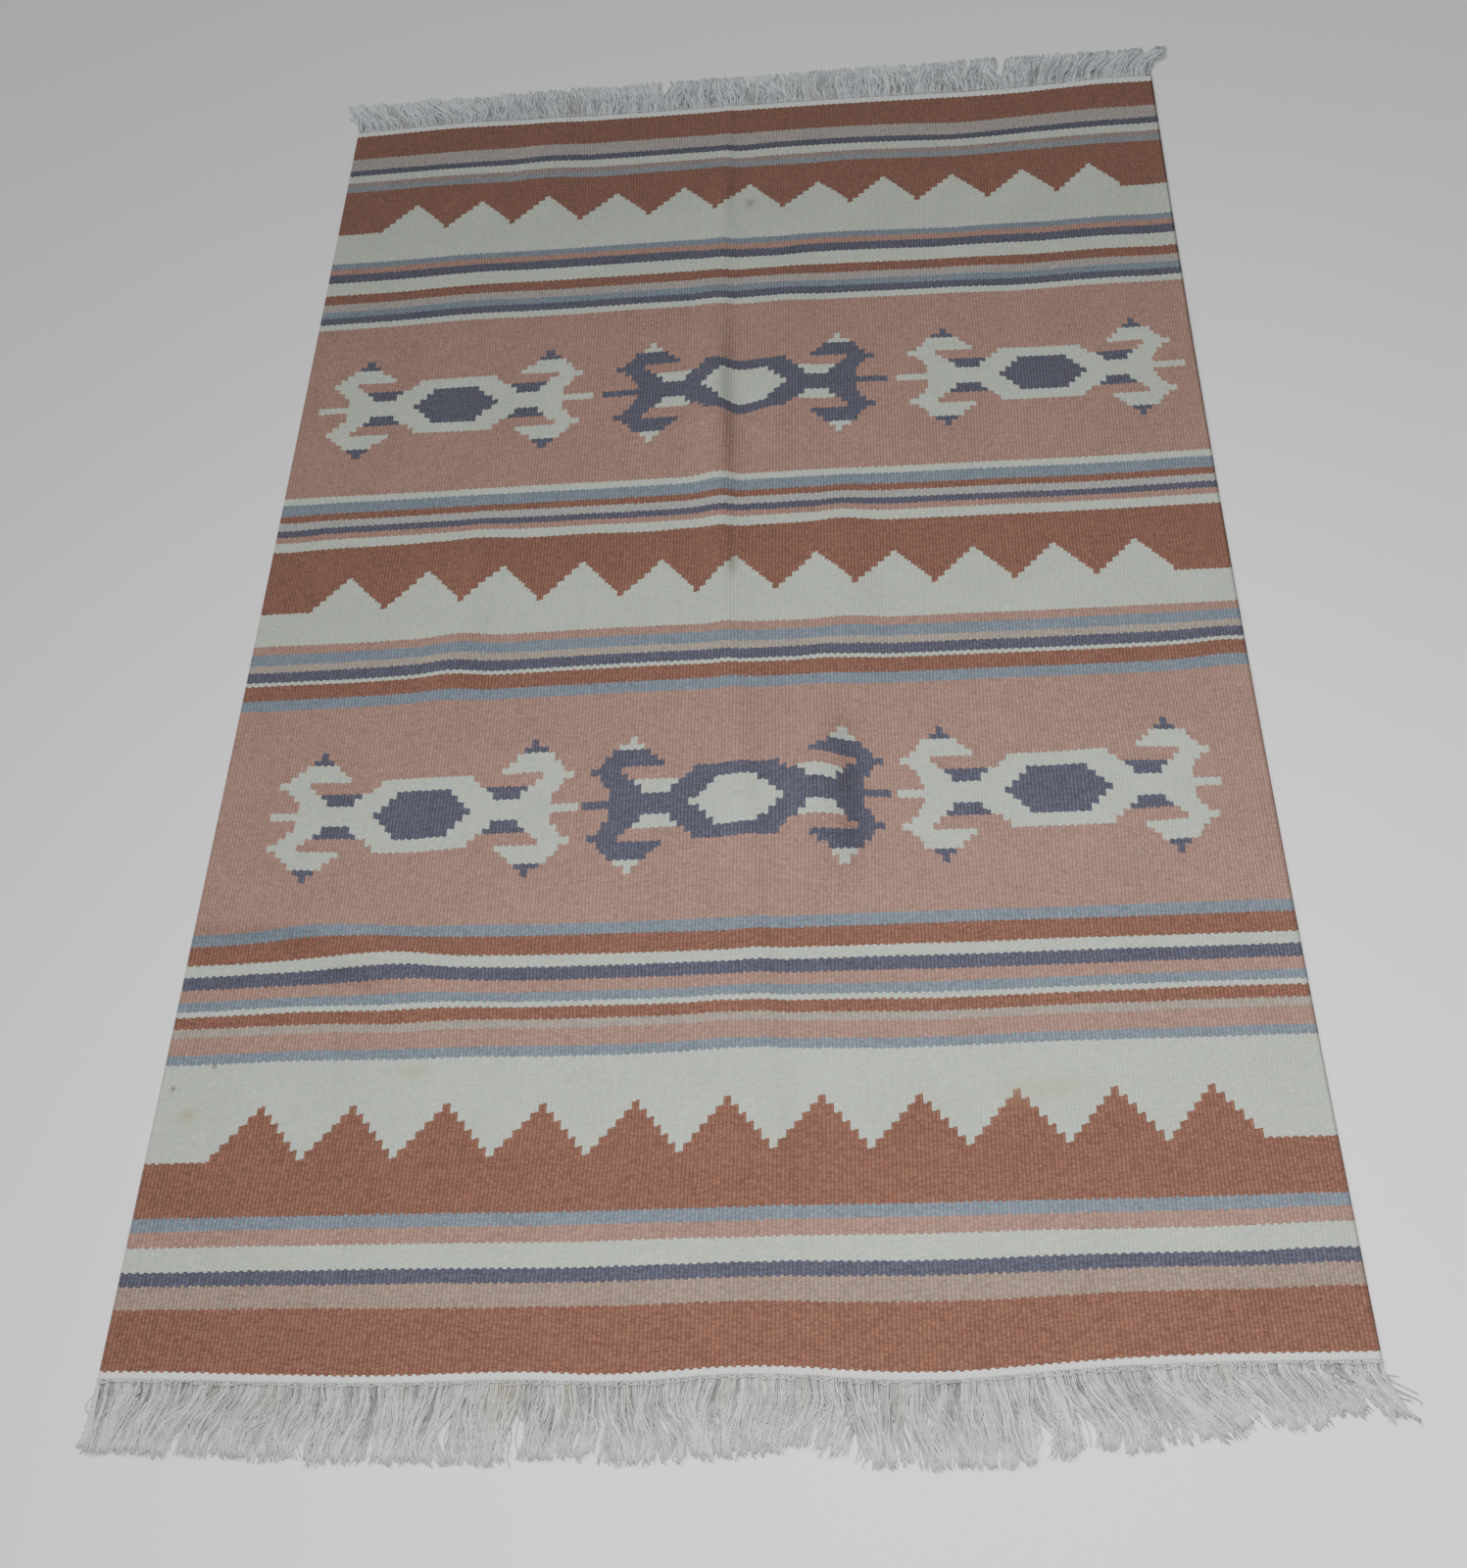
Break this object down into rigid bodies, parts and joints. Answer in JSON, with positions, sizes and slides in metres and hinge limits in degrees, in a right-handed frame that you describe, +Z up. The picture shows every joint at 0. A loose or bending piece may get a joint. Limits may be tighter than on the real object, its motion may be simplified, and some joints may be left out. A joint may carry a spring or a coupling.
{
  "type": "kilim rug",
  "caption": "Rectangular flat-woven kilim rug in muted stripes, with stepped borders, hooked medallions and a knotted warp fringe at both ends.",
  "frame": {"origin": "on the floor under the middle of the rug", "axes": "+X across the rug, +Y along its length, +Z up out of the pattern side"},
  "size_m": [1.2556, 1.9634, 0.0128],
  "materials": {
    "wool_weft": "matt weft-faced weave in rust, cream, dusty pink, light blue, indigo and taupe",
    "cotton_warp": "undyed twisted yarn"
  },
  "bodies": {
    "root": {"woven_cloth": "wool_weft", "fringe_near": "cotton_warp", "fringe_far": "cotton_warp"}
  },
  "joints": []
}
